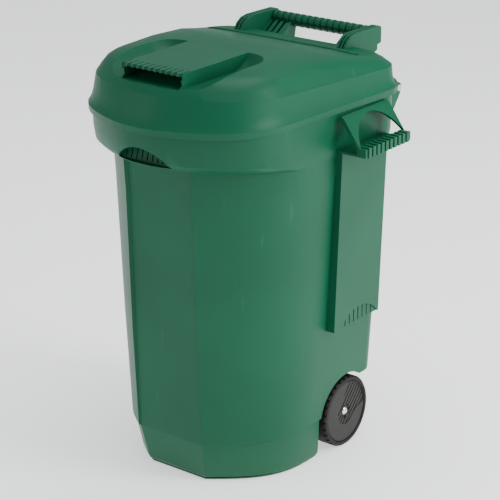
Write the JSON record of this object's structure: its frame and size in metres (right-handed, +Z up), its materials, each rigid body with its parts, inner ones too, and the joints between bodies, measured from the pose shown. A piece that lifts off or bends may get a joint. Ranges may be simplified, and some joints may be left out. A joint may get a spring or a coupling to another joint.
{
  "type": "wheelie bin",
  "caption": "Two-wheeled household waste bin with a hinged lid, toothed front hand grip, rear pull bar and side handles.",
  "frame": {"origin": "centre of the footprint box at floor level", "axes": "+Z up, front (ribbed arch and hand grip) faces -Y, right side is +X, wheels and hinge at +Y"},
  "size_m": [0.585, 0.6036, 0.8418],
  "materials": {
    "tub_plastic": "green moulded polyethylene, fine matt grain",
    "lid_plastic": "green moulded polyethylene, fine matt grain",
    "wheel_plastic": "dark grey moulded plastic, matt",
    "tyre_rubber": "dark grey solid rubber",
    "steel": "zinc-plated steel",
    "cap_metal": "bright domed push-on caps"
  },
  "bodies": {
    "tub_body": {"tub": "tub_plastic", "axle": "steel", "axle_cap_left": "cap_metal", "axle_cap_right": "cap_metal", "hinge_pin_left": "steel", "hinge_pin_right": "steel"},
    "lid_body": {"lid": "lid_plastic"},
    "wheel_left": {"wheel_disc_left": "wheel_plastic", "tyre_left": "tyre_rubber"},
    "wheel_right": {"wheel_disc_right": "wheel_plastic", "tyre_right": "tyre_rubber"}
  },
  "joints": [
    {"name": "lid_hinge", "type": "hinge", "parent": "tub_body", "child": "lid_body", "pos_m": [0, 0.262, 0.727], "axis": [-1, 0, 0], "range_deg": [0, 150]},
    {"name": "wheel_left_spin", "type": "hinge", "parent": "tub_body", "child": "wheel_left", "pos_m": [0, 0.112, 0.075], "axis": [1, 0, 0], "continuous": true},
    {"name": "wheel_right_spin", "type": "hinge", "parent": "tub_body", "child": "wheel_right", "pos_m": [0, 0.112, 0.075], "axis": [1, 0, 0], "continuous": true}
  ]
}
